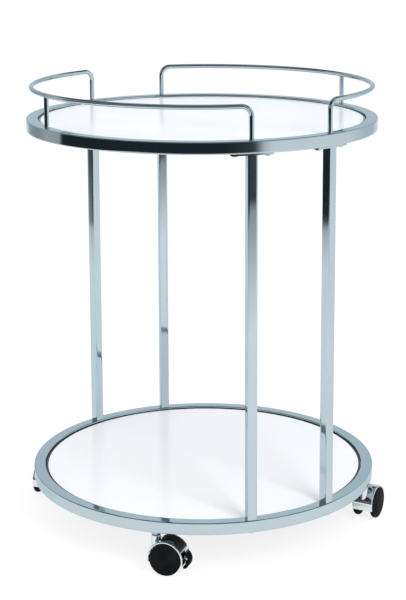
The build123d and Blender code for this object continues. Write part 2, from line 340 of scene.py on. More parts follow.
# A flat outline of (x, z) points pushed out both ways from the middle, its edges rounded over
def pushOutline(bm, outline, half, rounding, matrix):
    rims = []
    for step in range(roundingSteps + 1):
        turn = quarterTurn * step / roundingSteps
        rims.append((half - rounding * (1 - math.sin(turn)), rounding * (1 - math.cos(turn))))
    levels = [(-depth, inset) for depth, inset in reversed(rims)] + rims
    inward = insetOutline(outline)
    rows = []
    for depth, inset in levels:
        rows.append([
            bm.verts.new(matrix @ Vector((x + inX * inset, depth, z + inZ * inset)))
            for (x, z), (inX, inZ) in zip(outline, inward)
        ])
    skinRows(bm, rows)
    capRows(bm, rows)


# Inward direction at each outline point, scaled so that both neighbouring sides move in evenly
def insetOutline(outline):
    spots = [Vector(spot) for spot in outline]
    following = spots[1:] + spots[:1]
    area = sum(here.x * after.y - after.x * here.y for here, after in zip(spots, following))
    facing = 1 if area > 0 else -1
    inward = []
    for before, here, after in zip(spots[-1:] + spots, spots, following):
        sides = ((here - before).normalized(), (after - here).normalized())
        normals = [Vector((-side.y, side.x)) * facing for side in sides]
        bisector = normals[0] + normals[1]
        inward.append(tuple(bisector / max(mitreLimit, bisector.dot(normals[0]))))
    return inward


# Angles in degrees
def arcPoints(centre, radius, start, end, steps):
    turns = [math.radians(start + (end - start) * step / steps) for step in range(steps + 1)]
    return [(centre[0] + radius * math.cos(turn), centre[1] + radius * math.sin(turn)) for turn in turns]


# Takes one closed mesh out of another and leaves a plain mesh
def cutAway(piece, cutter):
    cut = piece.modifiers.new("cut", "BOOLEAN")
    cut.object = cutter
    cut.operation = "DIFFERENCE"
    cut.use_self = True
    bpy.context.view_layer.update()
    ready = piece.evaluated_get(bpy.context.evaluated_depsgraph_get())
    mesh = bpy.data.meshes.new_from_object(ready)
    piece.modifiers.remove(cut)
    piece.data = mesh
    bpy.data.objects.remove(cutter)
    bm = bmesh.new()
    bm.from_mesh(mesh)
    bmesh.ops.remove_doubles(bm, verts=bm.verts, dist=cutMergeGap)
    bmesh.ops.dissolve_degenerate(bm, dist=mergeGap, edges=bm.edges)
    bm.to_mesh(mesh)
    bm.free()
    smoothFaces(mesh, cutSharpAngle)


# Geometry Nodes helpers


def startTree(name, inputs):
    tree = bpy.data.node_groups.new(name, "GeometryNodeTree")
    tree.interface.new_socket("Geometry", in_out="OUTPUT", socket_type="NodeSocketGeometry")
    identifiers = {}
    for label, kind in inputs:
        socket = tree.interface.new_socket(label, in_out="INPUT", socket_type="NodeSocket" + kind)
        identifiers[label] = socket.identifier
    source = tree.nodes.new("NodeGroupInput").outputs
    return tree, source, identifiers


def endTree(tree, geometry, finish, smooth=True):
    if smooth:
        geometry = addNode(tree, "GeometryNodeSetShadeSmooth", {"Geometry": geometry}).outputs["Geometry"]
    real = addNode(tree, "GeometryNodeRealizeInstances", {"Geometry": geometry})
    painted = addNode(tree, "GeometryNodeSetMaterial",
                      {"Geometry": real.outputs["Geometry"], "Material": finish})
    addNode(tree, "NodeGroupOutput", {"Geometry": painted.outputs["Geometry"]})


# Runs a tree on a carrier object and keeps the result as a plain mesh of its own
def growPiece(name, tree, identifiers, values, carrier=None):
    holder = addObject(name + "Holder", carrier or bpy.data.meshes.new(name + "Carrier"))
    modifier = holder.modifiers.new("grow", "NODES")
    modifier.node_group = tree
    for label, value in values.items():
        modifier[identifiers[label]] = value
    bpy.context.view_layer.update()
    ready = holder.evaluated_get(bpy.context.evaluated_depsgraph_get())
    mesh = bpy.data.meshes.new_from_object(ready)
    mesh.name = name
    holder.modifiers.remove(modifier)
    bpy.data.objects.remove(holder)
    return addObject(name, mesh)


def spotMesh(name, points):
    mesh = bpy.data.meshes.new(name)
    mesh.from_pydata([tuple(point) for point in points], [], [])
    return mesh


# Square tube: rings and legs share its section
squareInputs = [("Size", "Float"), ("Corner", "Float"), ("Corner Steps", "Int"), ("Flat Cuts", "Int"),
                ("Finish", "Material")]


def squareSection(tree, source):
    square = addNode(tree, "GeometryNodeCurvePrimitiveQuadrilateral",
                     {"Width": source["Size"], "Height": source["Size"]}, mode="RECTANGLE")
    rounded = addNode(tree, "GeometryNodeFilletCurve",
                      {"Curve": square.outputs["Curve"], "Count": source["Corner Steps"],
                       "Radius": source["Corner"]}, mode="POLY")
    cut = addNode(tree, "GeometryNodeSubdivideCurve",
                  {"Curve": rounded.outputs["Curve"], "Cuts": source["Flat Cuts"]})
    return cut.outputs["Curve"]


def squareValues(shape, size):
    return {"Size": size, "Corner": shape["corner"], "Corner Steps": shape["cornerSteps"],
            "Flat Cuts": shape["flatCuts"], "Finish": finishes["chrome"]}


# Rings: the tube carried round a circle
ringTube = {"corner": 1.2 * mm, "cornerSteps": 5, "flatCuts": 7, "steps": 256}


def ringTree():
    tree, source, identifiers = startTree("ringTube", [
        ("Radius", "Float"), ("Level", "Float"), ("Steps", "Int"), *squareInputs,
    ])
    circle = addNode(tree, "GeometryNodeCurvePrimitiveCircle",
                     {"Resolution": source["Steps"], "Radius": source["Radius"]}, mode="RADIUS")
    tube = addNode(tree, "GeometryNodeCurveToMesh",
                   {"Curve": circle.outputs["Curve"], "Profile Curve": squareSection(tree, source)})
    lift = addNode(tree, "ShaderNodeCombineXYZ", {"Z": source["Level"]})
    placed = addNode(tree, "GeometryNodeTransform",
                     {"Geometry": tube.outputs["Mesh"], "Translation": lift.outputs["Vector"]})
    endTree(tree, placed.outputs["Geometry"], source["Finish"])
    return tree, identifiers


ringMaker, ringInputs = ringTree()
ringSizes = {}
for level in ("upper", "lower"):
    low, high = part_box(level + "_ring")
    tube = high.z - low.z
    middle = max(high.x, high.y, -low.x, -low.y) - tube / 2
    ringSizes[level] = {"middle": middle, "bottom": low.z}
    ring = growPiece(level + "RingTube", ringMaker, ringInputs, {
        "Radius": middle, "Level": (low.z + high.z) / 2, "Steps": ringTube["steps"],
        **squareValues(ringTube, tube),
    })
    dress(ring, "chrome", "frame", level + "_ring")
print("rings made, middle radius", round(ringSizes["upper"]["middle"], 4))


# Legs: the tube stood on each leg's spot and turned to face the centre
# The left rear leg is fixed a little off square, as its reflections in the photograph show
legTube = {
    "size": 12.0 * mm, "corner": 1.0 * mm, "cornerSteps": 5, "flatCuts": 5,
    "twist": {"left_rear": -1.4},      # degrees
}


def legTree():
    tree, source, identifiers = startTree("legTube", [
        ("Spots", "Geometry"), ("Height", "Float"), *squareInputs,
    ])
    reach = addNode(tree, "ShaderNodeCombineXYZ", {"Z": source["Height"]})
    upright = addNode(tree, "GeometryNodeCurvePrimitiveLine", {"End": reach.outputs["Vector"]})
    tube = addNode(tree, "GeometryNodeCurveToMesh",
                   {"Curve": upright.outputs["Curve"], "Profile Curve": squareSection(tree, source),
                    "Fill Caps": True})
    spot = tree.nodes.new("GeometryNodeInputPosition")
    facing = addNode(tree, "FunctionNodeAlignRotationToVector", {"Vector": spot.outputs["Position"]},
                     axis="X", pivot_axis="Z")
    twist = addNode(tree, "GeometryNodeInputNamedAttribute", {"Name": "twist"}, data_type="FLOAT")
    yaw = addNode(tree, "ShaderNodeCombineXYZ", {"Z": twist.outputs["Attribute"]})
    offSquare = addNode(tree, "FunctionNodeEulerToRotation", {"Euler": yaw.outputs["Vector"]})
    turned = addNode(tree, "FunctionNodeRotateRotation",
                     {"Rotation": facing.outputs["Rotation"], "Rotate By": offSquare.outputs["Rotation"]},
                     rotation_space="LOCAL")
    stood = addNode(tree, "GeometryNodeInstanceOnPoints",
                    {"Points": source["Spots"], "Instance": tube.outputs["Mesh"],
                     "Rotation": turned.outputs["Rotation"]})
    endTree(tree, stood.outputs["Instances"], source["Finish"])
    return tree, identifiers


legNodes = ["leg_" + side for side in casterSides]
legBoxes = [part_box(node) for node in legNodes]
legSpots = [Vector(((low.x + high.x) / 2, (low.y + high.y) / 2, low.z)) for low, high in legBoxes]
legHeight = legBoxes[0][1].z - legBoxes[0][0].z
legSpotMesh = spotMesh("legSpots", legSpots)
twists = legSpotMesh.attributes.new("twist", "FLOAT", "POINT")
for mark, side in zip(twists.data, casterSides):
    mark.value = math.radians(legTube["twist"].get(side, 0))
legMaker, legInputs = legTree()
legs = growPiece("legTubes", legMaker, legInputs, {
    "Height": legHeight, **squareValues(legTube, legTube["size"]),
}, legSpotMesh)
smoothFaces(legs.data)
dress(legs, "chrome", "frame", *legNodes)
print("legs made, height", round(legHeight, 4))


# Gallery: round rod swept along each bent route and up each middle post
galleryRod = {"bend": 12.0 * mm, "bendSteps": 14, "sweepSteps": 120, "sides": 28}


def rodTree():
    tree, source, identifiers = startTree("galleryRod", [
        ("Route", "Geometry"), ("Radius", "Float"), ("Sides", "Int"), ("Finish", "Material"),
    ])
    section = addNode(tree, "GeometryNodeCurvePrimitiveCircle",
                      {"Resolution": source["Sides"], "Radius": source["Radius"]}, mode="RADIUS")
    rod = addNode(tree, "GeometryNodeCurveToMesh",
                  {"Curve": source["Route"], "Profile Curve": section.outputs["Curve"], "Fill Caps": True})
    endTree(tree, rod.outputs["Mesh"], source["Finish"])
    return tree, identifiers


def routeCurve(name, route):
    curve = bpy.data.curves.new(name, "CURVE")
    curve.dimensions = "3D"
    spline = curve.splines.new("POLY")
    spline.points.add(len(route) - 1)
    for point, place in zip(spline.points, route):
        point.co = (*place, 1)
    return curve


# The quarter bend from the top of a post over to the rail; way is 1 going on round, -1 going back
def postBend(angle, way, foot, lead, rodLevel):
    bend, steps = galleryRod["bend"], galleryRod["bendSteps"]
    heading = angle + way * lead
    along = Vector((-math.sin(heading), math.cos(heading), 0)) * way
    centre = onCircle(angle, foot, rodLevel - bend) + along * bend
    turns = [quarterTurn * step / steps for step in range(steps + 1)]
    return [centre - along * bend * math.cos(turn) + Vector((0, 0, bend * math.sin(turn))) for turn in turns]


# Up from one leg, over the bend, round the open side and down at the other leg
def railRoute(first, last, root, rodLevel, middle):
    bend, steps = galleryRod["bend"], galleryRod["sweepSteps"]
    lead = math.atan2(bend, middle)
    foot = math.hypot(bend, middle)
    sweep = last - first - 2 * lead
    route = [onCircle(first, foot, root)]
    route += postBend(first, 1, foot, lead, rodLevel)
    route += [onCircle(first + lead + sweep * step / steps, middle, rodLevel) for step in range(1, steps)]
    route += reversed(postBend(last, -1, foot, lead, rodLevel))
    return route + [onCircle(last, foot, root)]


def buildRod(name, route, radius, node):
    rod = growPiece(name, rodMaker, rodInputs, {
        "Radius": radius, "Sides": galleryRod["sides"], "Finish": finishes["chrome"],
    }, routeCurve(name + "Route", route))
    smoothFaces(rod.data)
    dress(rod, "chrome", "frame", node)


rodMaker, rodInputs = rodTree()
legAngles = {side: math.atan2(spot.y, spot.x) % (2 * math.pi) for side, spot in zip(casterSides, legSpots)}
for side, first, last in (("rear", "right_rear", "left_rear"), ("front", "left_front", "right_front")):
    railLow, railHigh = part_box("gallery_rail_" + side)
    postLow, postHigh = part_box("gallery_post_" + side)
    rodRadius = (postHigh.x - postLow.x) / 2
    rodLevel = railHigh.z - rodRadius
    route = railRoute(legAngles[first], legAngles[last], railLow.z, rodLevel, ringSizes["upper"]["middle"])
    buildRod("galleryRail_" + side, route, rodRadius, "gallery_rail_" + side)
    spot = (postLow + postHigh) / 2
    route = [(spot.x, spot.y, postLow.z), (spot.x, spot.y, postHigh.z)]
    buildRod("galleryPost_" + side, route, rodRadius, "gallery_post_" + side)
print("gallery made, rod centre at", round(rodLevel, 4))


# Screws and bolts: pan heads with a cross recess, repeated at each hole
panScrews = {
    "flange_screws": {"head": 3.75 * mm, "height": 2.4 * mm, "shank": 2.0 * mm, "slot": "chrome"},
    "leg_bolts": {"head": 5.0 * mm, "height": 2.2 * mm, "shank": 2.5 * mm, "slot": "chrome"},
    "upper_shelf_screws": {"head": 3.5 * mm, "height": 2.0 * mm, "shank": 1.75 * mm, "slot": "plain_steel"},
    "lower_shelf_screws": {"head": 3.5 * mm, "height": 2.0 * mm, "shank": 1.75 * mm, "slot": "plain_steel"},
}
# Shares of the head's radius and height, and the tip's of the shank's radius
panHead = {
    "crown": 0.55,                     # height of the rounded part
    "brow": 0.62,                      # radius where the round ends
    "rise": 0.86,                      # share of the crown that the round climbs
    "flat": (0.35, 0.985),             # radius and height where the top begins to level off
    "crownSteps": 8,
    "tip": (0.75, 0.4),                # radius and length of the shank's tapered tip
    "arm": 0.525,                      # the cross, out from the middle
    "armHalf": 0.12,
    "crossFloor": (0.55, 0.45),        # size and height of the recess at its floor
    "crossMouth": (1.0, 1.45),         # and of the cutter at its top, clear of the head
    "sides": 32,
}


# Head up here, standing on its seat at height 0, shank going down
def screwMesh(name, size, shankLength):
    head, height, shank = size["head"], size["height"], size["shank"]
    crown, brow, steps = height * panHead["crown"], panHead["brow"], panHead["crownSteps"]
    tipRadius, tipLength = (shank * share for share in panHead["tip"])
    profile = [(0, -shankLength), (tipRadius, -shankLength), (shank, -shankLength + tipLength), (shank, 0),
               (head, 0), (head, height - crown)]
    for step in range(1, steps):
        turn = quarterTurn * step / steps
        profile.append((head * (brow + (1 - brow) * math.cos(turn)),
                        height - crown + crown * math.sin(turn) * panHead["rise"]))
    flatRadius, flatHeight = panHead["flat"]
    profile += [(head * flatRadius, height * flatHeight), (0, height)]
    body = bmesh.new()
    turnProfile(body, profile, panHead["sides"])
    screw = addObject(name, meshFrom(name, body))
    arm, half = head * panHead["arm"], head * panHead["armHalf"]
    quarter = [Vector((arm, -half)), Vector((arm, half)), Vector((half, half))]
    outline = [Matrix.Rotation(quarterTurn * turn, 2) @ spot for turn in range(4) for spot in quarter]
    cross = bmesh.new()
    rows = [[cross.verts.new((spot.x * taper, spot.y * taper, height * level)) for spot in outline]
            for taper, level in (panHead["crossFloor"], panHead["crossMouth"])]
    skinRows(cross, rows)
    capRows(cross, rows)
    cutAway(screw, addObject(name + "Cross", meshFrom(name + "Cross", cross)))
    return screw


# Head down, each turned by chance within a quarter turn
def screwTree():
    tree, source, identifiers = startTree("panScrews", [
        ("Spots", "Geometry"), ("Screw", "Object"), ("Turn Seed", "Int"), ("Finish", "Material"),
    ])
    floatMax, floatValue = 3, 1        # the Random Value node's sockets for a float's limit and result
    shape = addNode(tree, "GeometryNodeObjectInfo", {"Object": source["Screw"]})
    spin = addNode(tree, "FunctionNodeRandomValue", {"Seed": source["Turn Seed"], floatMax: quarterTurn},
                   data_type="FLOAT")
    turned = addNode(tree, "ShaderNodeCombineXYZ", {"X": math.pi, "Z": spin.outputs[floatValue]})
    rotation = addNode(tree, "FunctionNodeEulerToRotation", {"Euler": turned.outputs["Vector"]})
    placed = addNode(tree, "GeometryNodeInstanceOnPoints",
                     {"Points": source["Spots"], "Instance": shape.outputs["Geometry"],
                      "Rotation": rotation.outputs["Rotation"]})
    endTree(tree, placed.outputs["Instances"], source["Finish"], smooth=False)
    return tree, identifiers


# The separate solids of a CAD node, as the middles of their boxes
def solidMiddles(node):
    bm = bmesh.new()
    bm.from_mesh(frame["nodes"][node].data)
    bmesh.ops.remove_doubles(bm, verts=bm.verts, dist=cutMergeGap)
    unseen = set(bm.verts)
    middles = []
    while unseen:
        reached = [unseen.pop()]
        solid = list(reached)
        while reached:
            linked = [edge.other_vert(vert) for vert in reached for edge in vert.link_edges]
            reached = [vert for vert in dict.fromkeys(linked) if vert in unseen]
            unseen.difference_update(reached)
            solid += reached
        lows = [min(vert.co[axis] for vert in solid) for axis in range(3)]
        highs = [max(vert.co[axis] for vert in solid) for axis in range(3)]
        middles.append(Vector([(low + high) / 2 for low, high in zip(lows, highs)]))
    bm.free()
    return sorted(middles, key=lambda spot: math.atan2(spot.y, spot.x))


screwMaker, screwInputs = screwTree()
for node, size in panScrews.items():
    low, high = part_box(node)
    seat = low.z + size["height"]
    screw = screwMesh(node + "Shape", size, high.z - seat)
    spots = [Vector((spot.x, spot.y, seat)) for spot in solidMiddles(node)]
    screws = growPiece(node + "Crossed", screwMaker, screwInputs, {
        "Screw": screw, "Turn Seed": len(spots), "Finish": finishes[size["slot"]],
    }, spotMesh(node + "Spots", spots))
    bpy.data.objects.remove(screw)
    dress(screws, size["slot"], "frame", node)
print("screws made:", ", ".join(panScrews))


# Casters: each is built about its own axle, X along the trail, Y along the axle, Z up


def jointPlace(name):
    return Vector(joints[name]["pos_m"])


# From a caster's own axes to the cart's
def casterMatrix(side):
    axle = (jointPlace(f"spin_{side}_outer") + jointPlace(f"spin_{side}_inner")) / 2
    across = Vector(joints[f"spin_{side}_inner"]["axis"]).normalized()
    along = across.cross(Vector((0, 0, 1))).normalized()
    return Matrix.Translation(axle) @ Matrix((along, across, (0, 0, 1))).transposed().to_4x4()


# Stem: stud, tapered collar under the ring, and the pin that turns in the boss
stemShape = {
    "pivot": 3.0 * mm, "tip": 0.4 * mm, "collar": 6.0 * mm, "collarHeight": 3.2 * mm, "taper": 1.2 * mm,
    "taperSteps": 6, "rim": 0.1 * mm, "sides": 48,
}


def buildStem(side):
    pivot, tip, collar, taper, rim = (stemShape[key] for key in ("pivot", "tip", "collar", "taper", "rim"))
    low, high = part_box("caster_stem_" + side)
    spot = (low + high) / 2
    top = ringSizes["lower"]["bottom"]
    bottom = top - stemShape["collarHeight"]
    profile = [(0, low.z), (pivot - tip, low.z), (pivot, low.z + tip), (pivot, bottom)]
    profile += arcPoints((collar - taper, bottom + taper), taper, -90, 0, stemShape["taperSteps"])
    profile += [(collar, top - rim), (collar - rim, top), (pivot, top), (pivot, high.z), (0, high.z)]
    bm = bmesh.new()
    turnProfile(bm, profile, stemShape["sides"], Matrix.Translation((spot.x, spot.y, 0)))
    stem = addObject("casterStem_" + side, meshFrom("casterStem_" + side, bm))
    dress(stem, "plain_steel", "frame", "caster_stem_" + side)


# Hood: its cross-section carried round the axle, then its web, boss and the lug for a brake
hoodShape = {
    "radius": 22.6 * mm, "wall": 1.6 * mm, "half": 13.5 * mm, "edge": 0.7 * mm, "edgeSteps": 4,
    "drop": 5.5 * mm, "steps": 72,     # how far it reaches below the axle, and its steps round
    "webHalf": 3.0 * mm, "webSteps": 40, "webEdge": 0.3 * mm,
    "boss": 5.5 * mm, "bossEdge": 0.6 * mm, "bossSides": 48,
    "bossTop": 45.6 * mm,              # above the floor
    "bossDepth": 18.0 * mm,            # below the hood's top
    "boreGap": 0.05 * mm, "boreDepth": 2.4 * mm,
    "lugHalf": 2.5 * mm, "lugRound": 2.0 * mm, "lugSteps": 14,
}


def addHoodShell(bm, matrix, droop):
    radius, half, edge = hoodShape["radius"], hoodShape["half"], hoodShape["edge"]
    inner = radius - hoodShape["wall"]
    section = [(inner, -half)]
    section += arcPoints((radius - edge, -half + edge), edge, -90, 0, hoodShape["edgeSteps"])
    section += [(radius, -half + 2 * edge), (radius, half - 2 * edge)]
    section += arcPoints((radius - edge, half - edge), edge, 0, 90, hoodShape["edgeSteps"])
    section += [(inner, half)]
    rows = []
    for step in range(hoodShape["steps"] + 1):
        turn = -droop + (math.pi + 2 * droop) * step / hoodShape["steps"]
        spots = [Vector((out * math.cos(turn), y, out * math.sin(turn))) for out, y in section]
        rows.append([bm.verts.new(matrix @ spot) for spot in spots])
    skinRows(bm, rows)
    capRows(bm, rows)


def addBoss(bm, matrix, side):
    boss, rim = hoodShape["boss"], hoodShape["bossEdge"]
    top = hoodShape["bossTop"] - matrix.translation.z
    bottom = hoodShape["radius"] - hoodShape["bossDepth"]
    bore = stemShape["pivot"] + hoodShape["boreGap"]
    boreFloor = top - hoodShape["boreDepth"]
    profile = [(0, bottom), (boss, bottom), (boss, top - 2 * rim)]
    profile += arcPoints((boss - rim, top - rim), rim, 0, 90, hoodShape["edgeSteps"])
    profile += [(bore, top), (bore, boreFloor), (0, boreFloor)]
    stem = matrix.inverted() @ jointPlace("swivel_" + side)
    turnProfile(bm, profile, hoodShape["bossSides"], matrix @ Matrix.Translation((stem.x, stem.y, 0)))


def addLug(bm, matrix, side):
    pivot = matrix.inverted() @ jointPlace("brake_" + side)
    reach = hoodShape["radius"] - hoodShape["wall"] / 2
    lugRound = hoodShape["lugRound"]
    lug = [(reach, pivot.z - lugRound)]
    lug += arcPoints((pivot.x, pivot.z), lugRound, -90, 90, hoodShape["lugSteps"])
    lug += [(reach, pivot.z + lugRound)]
    pushOutline(bm, lug, hoodShape["lugHalf"], hoodShape["webEdge"], matrix)


def buildHood(side):
    matrix = casterMatrix(side)
    bm = bmesh.new()
    droop = math.asin(hoodShape["drop"] / hoodShape["radius"])
    addHoodShell(bm, matrix, droop)
    webRadius = hoodShape["radius"] - hoodShape["wall"] / 2
    below = math.degrees(droop)
    web = arcPoints((0, 0), webRadius, -below, 180 + below, hoodShape["webSteps"])
    pushOutline(bm, web, hoodShape["webHalf"], hoodShape["webEdge"], matrix)
    addBoss(bm, matrix, side)
    if "brake_" + side in joints:
        addLug(bm, matrix, side)
    hood = addObject("casterHood_" + side, meshFrom("casterHood_" + side, bm))
    hood.data.materials.append(litCasterPlate)
    dress(hood, "chrome", "caster_" + side, "caster_hood_" + side)


# Wheel: a flat disc with a rounded tread, a shallow moulded ring on its face, and its hub behind
wheelShape = {
    "hub": 5.5 * mm, "hubFlare": 0.6 * mm, "webGap": 0.5 * mm, "disc": 5.0 * mm,
    "edge": 1.4 * mm, "edgeSteps": 6, "sides": 96,
    "groove": 3.2 * mm, "grooveHalf": 0.5 * mm, "grooveFloorHalf": 0.25 * mm, "grooveDepth": 0.2 * mm,
    "dip": 0.05 * mm,                  # of the face inside the groove
}


def buildWheel(side, which, hand):
    hub, flare, edge = wheelShape["hub"], wheelShape["hubFlare"], wheelShape["edge"]
    matrix = casterMatrix(side)
    node = f"wheel_{side}_{which}"
    middle = (matrix.inverted() @ jointPlace(f"spin_{side}_{which}")).y * hand
    low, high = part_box(node)
    radius = (high.z - low.z) / 2
    inside = hoodShape["webHalf"] + wheelShape["webGap"]
    face = 2 * middle - inside
    back = face - wheelShape["disc"]
    profile = [(0, inside), (hub, inside), (hub, back - flare), (hub + flare, back)]
    profile += [(radius - 2 * edge, back)]
    profile += arcPoints((radius - edge, back + edge), edge, -90, 0, wheelShape["edgeSteps"])
    profile += arcPoints((radius - edge, face - edge), edge, 0, 90, wheelShape["edgeSteps"])
    groove = radius - wheelShape["groove"]
    mouthHalf, floorHalf = wheelShape["grooveHalf"], wheelShape["grooveFloorHalf"]
    grooveFloor, hollow = face - wheelShape["grooveDepth"], face - wheelShape["dip"]
    profile += [(groove + mouthHalf, face), (groove + floorHalf, grooveFloor),
                (groove - floorHalf, grooveFloor), (groove - mouthHalf, hollow), (0, hollow)]
    bm = bmesh.new()
    turnProfile(bm, profile, wheelShape["sides"], matrix @ Matrix.Rotation(-quarterTurn * hand, 4, "X"))
    wheel = addObject("casterWheel_" + side + "_" + which, meshFrom(node, bm))
    dress(wheel, "black_plastic", node, node)


# Brake paddle: bowed outside, straight behind, with a toe under the hood and a slot for the lug
brakeShape = {
    "half": 6.0 * mm, "back": 1.5 * mm, "bulge": 3.4 * mm, "bowSteps": 18, "tip": 1.0 * mm,
    "rounding": 0.35 * mm, "toe": 2.4 * mm,
    "slotHalf": 2.8 * mm, "slotRound": 2.5 * mm, "slotSteps": 12, "slotEdge": 0.1 * mm,
    "slotReach": 4.0 * mm,             # how far the slot's cutter stands out behind
}


# Points on the circle through three points, from the first to the last by way of the second
def bowPoints(start, through, end, steps):
    near, far = through - start, end - start
    nearSquare, farSquare = near.length_squared, far.length_squared
    spread = 2 * (near.x * far.y - near.y * far.x)
    centre = start + Vector((far.y * nearSquare - near.y * farSquare,
                             near.x * farSquare - far.x * nearSquare)) / spread
    first = math.atan2(start.y - centre.y, start.x - centre.x)
    last = math.atan2(end.y - centre.y, end.x - centre.x)
    return arcPoints(centre, (start - centre).length, math.degrees(first), math.degrees(last), steps)


def buildBrake(side):
    matrix = casterMatrix(side)
    toLocal = matrix.inverted()
    node = "brake_lever_" + side
    pivot = toLocal @ jointPlace("brake_" + side)
    corners = [toLocal @ vert.co for vert in frame["nodes"][node].data.vertices]
    toeX = min(corner.x for corner in corners)
    foot = min(corner.z for corner in corners)
    top = max(corner.z for corner in corners)
    back = pivot.x - brakeShape["back"]
    start = Vector((back + brakeShape["tip"], top))
    through = Vector((pivot.x + brakeShape["bulge"], pivot.z))
    outline = bowPoints(start, through, Vector((back, foot)), brakeShape["bowSteps"])
    toeTop = foot + brakeShape["toe"]
    outline += [(toeX, foot), (toeX, toeTop), (back, toeTop), (back, top)]
    bm = bmesh.new()
    pushOutline(bm, outline, brakeShape["half"], brakeShape["rounding"], matrix)
    lever = addObject("brakeLever_" + side, meshFrom(node, bm))
    slotRound, slotBack = brakeShape["slotRound"], back - brakeShape["slotReach"]
    edge = arcPoints((pivot.x, pivot.z), slotRound, -90, 90, brakeShape["slotSteps"])
    edge += [(slotBack, pivot.z + slotRound), (slotBack, pivot.z - slotRound)]
    slot = bmesh.new()
    pushOutline(slot, edge, brakeShape["slotHalf"], brakeShape["slotEdge"], matrix)
    cutAway(lever, addObject("brakeSlot_" + side, meshFrom("brakeSlot", slot)))
    dress(lever, "black_plastic", "brake_" + side, node)


for side in casterSides:
    buildStem(side)
    buildHood(side)
    buildWheel(side, "outer", -1)
    buildWheel(side, "inner", 1)
    if "brake_" + side in joints:
        buildBrake(side)
print("casters made:", len(casterSides))


# Stage: white floor, soft light, and a room of light and dark that only glossy surfaces see
cameraView = {
    "azimuth": 60.25, "distance": 1.9772, "height": 0.8049, "aside": 0.0010,
    "pitch": 10.40, "roll": -0.22, "lens": 93.11, "shiftY": -0.2,
}
azimuth = math.radians(cameraView["azimuth"])
cameraRight = Vector((math.cos(azimuth), math.sin(azimuth), 0))
cameraBack = Vector((math.sin(azimuth), -math.cos(azimuth), 0))


# A place given as right of, towards and above the cart's centre, as the camera sees it
def fromCamera(right, towards, up):
    return cameraRight * right + cameraBack * towards + Vector((0, 0, up))


def buildCamera():
    data = bpy.data.cameras.new("photoCamera")
    data.lens = cameraView["lens"]
    data.shift_y = cameraView["shiftY"]
    camera = addObject("photoCamera", data)
    camera.location = fromCamera(cameraView["aside"], cameraView["distance"], cameraView["height"])
    tilt = quarterTurn - math.radians(cameraView["pitch"])
    camera.rotation_euler = (Matrix.Rotation(azimuth, 3, "Z") @ Matrix.Rotation(tilt, 3, "X")
                             @ Matrix.Rotation(math.radians(cameraView["roll"]), 3, "Z")).to_euler()
    bpy.context.scene.camera = camera


skyLight = 0.92                        # strength of the sky's light on the cart


# 1 for a ray that shows the stage itself, straight or in a reflection
def shownRays(tree):
    rays = tree.nodes.new("ShaderNodeLightPath").outputs
    either = addMath(tree, "MAXIMUM", rays["Is Camera Ray"], rays["Is Glossy Ray"])
    return addMath(tree, "MAXIMUM", either, rays["Is Transmission Ray"])


def buildWorld():
    world = bpy.data.worlds.new("studioSky")
    bpy.context.scene.world = world
    world.use_nodes = True
    tree = world.node_tree
    level = addNode(tree, "ShaderNodeMapRange",
                    {"Value": shownRays(tree), "To Min": skyLight, "To Max": 1.0})
    feed(tree, tree.nodes["Background"], {"Strength": level.outputs["Result"], "Color": (1, 1, 1, 1)})


lamps = {
    "keyLamp": {"power": 27.0, "size": 0.9, "place": (1.0, 1.7, 1.5)},
    "fillLamp": {"power": 6.0, "size": 1.6, "place": (-1.6, 0.9, 1.5)},
}
lampTarget = Vector((0, 0, 0.25))


def buildLamp(name, shape):
    data = bpy.data.lights.new(name, "AREA")
    data.energy = shape["power"]
    data.size = shape["size"]
    lamp = addObject(name, data)
    lamp.location = fromCamera(*shape["place"])
    lamp.rotation_euler = (lampTarget - lamp.location).to_track_quat("-Z", "Y").to_euler()
    lamp.visible_glossy = False


def stageMaterial(name):
    material = bpy.data.materials.new(name)
    material.use_nodes = True
    tree = material.node_tree
    tree.nodes.clear()
    place = tree.nodes.new("ShaderNodeTexCoord").outputs["Object"]
    return material, tree, place


def squareMesh(name, size, height):
    half = size / 2
    corners = [(-half, -half, height), (half, -half, height), (half, half, height), (-half, half, height)]
    mesh = bpy.data.meshes.new(name)
    mesh.from_pydata(corners, [], [(0, 1, 2, 3)])
    return mesh


# Part of the floor's white is its own glow; the rest is lit, and keeps the shadow
whiteFloor = {
    "size": 24.0, "level": -0.2 * mm, "white": (0.92, 0.92, 0.925), "shade": (0.90, 0.90, 0.905),
    "shadeNoise": (3.0, 3.0), "glowShare": 0.78, "glow": 1.08, "glowInGloss": 0.97,
}


def buildFloor():
    floor = addObject("studioFloor", squareMesh("studioFloor", whiteFloor["size"], whiteFloor["level"]))
    material, tree, place = stageMaterial("whiteFloor")
    clouds = addNoise(tree, place, *whiteFloor["shadeNoise"])
    tone = addRamp(tree, clouds, whiteFloor["shade"], whiteFloor["white"])
    paper = addNode(tree, "ShaderNodeBsdfDiffuse", {"Color": tone})
    glossy = tree.nodes.new("ShaderNodeLightPath").outputs["Is Glossy Ray"]
    level = addNode(tree, "ShaderNodeMapRange",
                    {"Value": glossy, "To Min": whiteFloor["glow"], "To Max": whiteFloor["glowInGloss"]})
    glow = addNode(tree, "ShaderNodeEmission", {"Strength": level.outputs["Result"]})
    share = addMath(tree, "MULTIPLY", shownRays(tree), whiteFloor["glowShare"])
    mix = addNode(tree, "ShaderNodeMixShader", {0: share, 1: paper.outputs[0], 2: glow.outputs[0]})
    addNode(tree, "ShaderNodeOutputMaterial", {"Surface": mix.outputs[0]})
    floor.data.materials.append(material)


